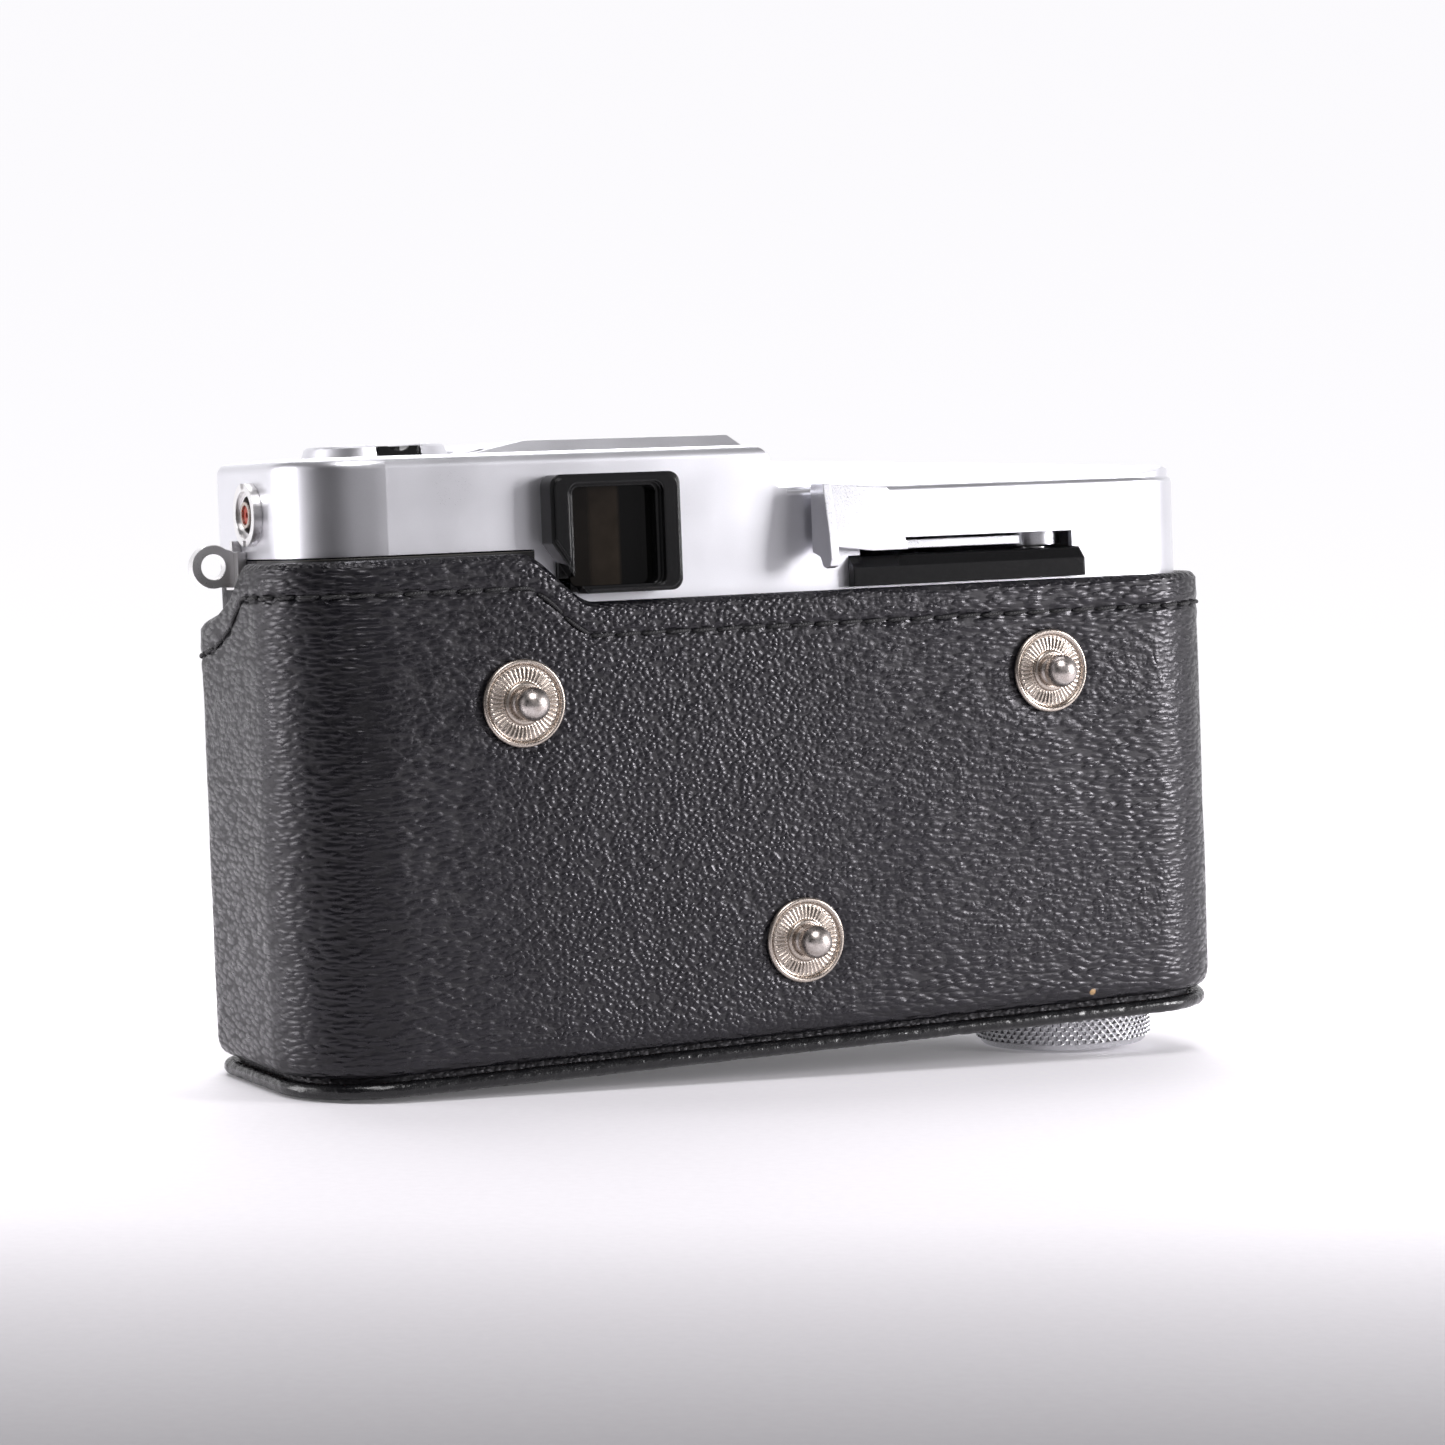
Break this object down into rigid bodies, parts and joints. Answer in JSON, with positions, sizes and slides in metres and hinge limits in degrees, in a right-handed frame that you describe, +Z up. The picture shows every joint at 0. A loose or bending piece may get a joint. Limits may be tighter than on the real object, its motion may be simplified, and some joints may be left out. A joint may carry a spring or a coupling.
{
  "type": "rangefinder camera",
  "caption": "Compact film camera with a coupled rangefinder, held in the lower half of its leather case by a knurled case screw.",
  "frame": {"origin": "under the middle of the whole, level with the underside of the case screw", "axes": "+X towards the rewind side, +Y out of the camera's back, +Z up; the lens faces -Y"},
  "size_m": [0.1518, 0.0756, 0.0905],
  "materials": {
    "case_leather": "pebbled black cowhide, semi-gloss",
    "welt_leather": "smooth black rolled welt",
    "felt": "short red-brown felt",
    "screw_metal": "bright turned and knurled",
    "brass": "turned",
    "steel": "plain",
    "nickel": "warm satin nickel plate",
    "tarnished_nickel": "worn and darkened nickel plate",
    "cast_alloy": "die-cast, blackened",
    "leatherette": "grained black covering",
    "black_paint": "black enamel",
    "spring_brass": "rolled spring strip",
    "satin_chrome": "fine bead-blasted satin chrome",
    "lever_chrome": "satin chrome with polished edges",
    "polished_steel": "polished plate",
    "gloss_black": "gloss black moulding",
    "matt_black": "matt black moulding",
    "finder_glass": "brown-tinted by the finder behind it",
    "coated_glass": "half-silvered, gold coat",
    "mirror": "front-silvered",
    "clear_glass": "clear",
    "red_insulator": "red insulator",
    "cast_metal_bright": "machined",
    "lens_alloy": "satin anodised",
    "black_anodised": "black anodised",
    "lens_glass": "single-coated, violet sheen",
    "blade_steel": "blued spring steel"
  },
  "bodies": {
    "half_case": {"case_wall": "case_leather", "case_lining": "felt", "case_base": "case_leather", "base_pad": "felt", "case_piping": "welt_leather", "screw_ferrule": "brass", "snap_rings": "nickel", "snap_posts": "tarnished_nickel", "snap_backs": "nickel"},
    "case_screw": {"case_screw": "screw_metal", "screw_clip": "steel"},
    "camera": {"chassis_gate": "cast_alloy", "chassis_rewind": "cast_alloy", "chassis_wind": "cast_alloy", "top_frame": "cast_alloy", "leatherette": "leatherette", "back_door": "black_paint", "hinge_pin": "steel", "pressure_plate": "black_paint", "plate_spring": "spring_brass", "bottom_cover": "satin_chrome", "tripod_bush": "brass", "top_cover": "satin_chrome", "cover_screws": "steel", "strap_lugs": "polished_steel", "eyepiece_frame": "gloss_black", "eyepiece_lens": "finder_glass", "finder_housing": "matt_black", "beam_splitter": "coated_glass", "front_bezel": "gloss_black", "front_windows": "clear_glass", "sync_ring": "polished_steel", "sync_base": "matt_black", "sync_sleeve": "nickel", "sync_core": "red_insulator", "lever_axle": "steel", "lever_guide": "gloss_black", "counter_window": "clear_glass", "shutter_housing": "lens_alloy", "button_collar": "satin_chrome"},
    "door_latch": {"door_latch": "steel"},
    "rewind": {"rewind_shaft": "steel", "rewind_knob": "satin_chrome", "crank_pin": "steel"},
    "crank": {"rewind_crank": "gloss_black"},
    "wind_lever": {"wind_lever": "lever_chrome"},
    "takeup_spool": {"takeup_spool": "matt_black"},
    "sprocket": {"sprocket": "cast_metal_bright"},
    "counter": {"counter_disc": "black_paint"},
    "rewind_release": {"rewind_release": "satin_chrome"},
    "rf_mirror": {"rf_mirror": "mirror"},
    "timer_lever": {"timer_lever": "polished_steel"},
    "speed_ring": {"speed_ring": "lens_alloy"},
    "aperture_ring": {"aperture_ring": "black_anodised"},
    "focus_ring": {"focus_ring": "lens_alloy"},
    "lens_unit": {"lens_cell": "black_anodised", "front_glass": "lens_glass", "rear_glass": "lens_glass", "shutter_blades": "blade_steel"},
    "shutter_button": {"shutter_button": "polished_steel"}
  },
  "joints": [
    {"name": "camera_lift", "type": "slide", "parent": "half_case", "child": "camera", "axis": [0, 0, 1], "range_m": [0, 0.09]},
    {"name": "case_screw_turn", "type": "hinge", "parent": "half_case", "child": "case_screw", "pos_m": [-0.0536, 0.011, 0.003], "axis": [0, 0, 1], "continuous": true},
    {"name": "wind_stroke", "type": "hinge", "parent": "camera", "child": "wind_lever", "pos_m": [-0.043, 0.024, 0.0745], "axis": [0, 0, 1], "range_deg": [0, 85], "stiffness_Nm_per_rad": 0.02, "springref_deg": -22.92},
    {"name": "spool_turn", "type": "hinge", "parent": "camera", "child": "takeup_spool", "pos_m": [-0.0536, 0.011, 0.042], "axis": [0, 0, 1], "range_deg": [0, 360]},
    {"name": "sprocket_turn", "type": "hinge", "parent": "camera", "child": "sprocket", "pos_m": [-0.033, 0.0205, 0.042], "axis": [0, 0, 1], "range_deg": [0, 360]},
    {"name": "counter_step", "type": "hinge", "parent": "camera", "child": "counter", "pos_m": [-0.052, 0.006, 0.08], "axis": [0, 0, 1], "range_deg": [0, 10]},
    {"name": "shutter_press", "type": "slide", "parent": "camera", "child": "shutter_button", "axis": [0, 0, -1], "range_m": [0, 0.002], "stiffness_N_per_m": 300, "springref_m": -0.002},
    {"name": "release_press", "type": "slide", "parent": "camera", "child": "rewind_release", "axis": [0, 0, 1], "range_m": [0, 0.0008], "stiffness_N_per_m": 300, "springref_m": -0.002},
    {"name": "rewind_lift", "type": "slide", "parent": "camera", "child": "door_latch", "axis": [0, 0, 1], "range_m": [0, 0.005]},
    {"name": "rewind_turn", "type": "hinge", "parent": "door_latch", "child": "rewind", "pos_m": [0.0513, 0.011, 0.0863], "axis": [0, 0, 1], "continuous": true},
    {"name": "crank_unfold", "type": "hinge", "parent": "rewind", "child": "crank", "pos_m": [0.0513, 0.0037, 0.089], "axis": [1, 0, 0], "range_deg": [0, 135]},
    {"name": "timer_turn", "type": "hinge", "parent": "camera", "child": "timer_lever", "pos_m": [0, -0.0114, 0.042], "axis": [0, 1, 0], "range_deg": [0, 45]},
    {"name": "speed_turn", "type": "hinge", "parent": "camera", "child": "speed_ring", "pos_m": [0, -0.0144, 0.042], "axis": [0, 1, 0], "range_deg": [0, 110]},
    {"name": "aperture_turn", "type": "hinge", "parent": "camera", "child": "aperture_ring", "pos_m": [0, -0.0194, 0.042], "axis": [0, 1, 0], "range_deg": [0, 80]},
    {"name": "focus_turn", "type": "hinge", "parent": "camera", "child": "focus_ring", "pos_m": [0, -0.0274, 0.042], "axis": [0, -1, 0], "range_deg": [0, 120]},
    {"name": "lens_focus", "type": "slide", "parent": "camera", "child": "lens_unit", "axis": [0, -1, 0], "range_m": [0, 0.003]},
    {"name": "mirror_tilt", "type": "hinge", "parent": "camera", "child": "rf_mirror", "pos_m": [0.057, 0, 0.08], "axis": [0, 0, 1], "range_deg": [0, 2.5]}
  ],
  "couplings": [
    {"joint": "spool_turn", "follows": "wind_stroke", "ratio": 4.2},
    {"joint": "sprocket_turn", "follows": "wind_stroke", "ratio": 4.235},
    {"joint": "counter_step", "follows": "wind_stroke", "ratio": 0.1143},
    {"joint": "lens_focus", "follows": "focus_turn", "m_per_rad": 0.0014324},
    {"joint": "mirror_tilt", "follows": "focus_turn", "ratio": 0.0208}
  ]
}
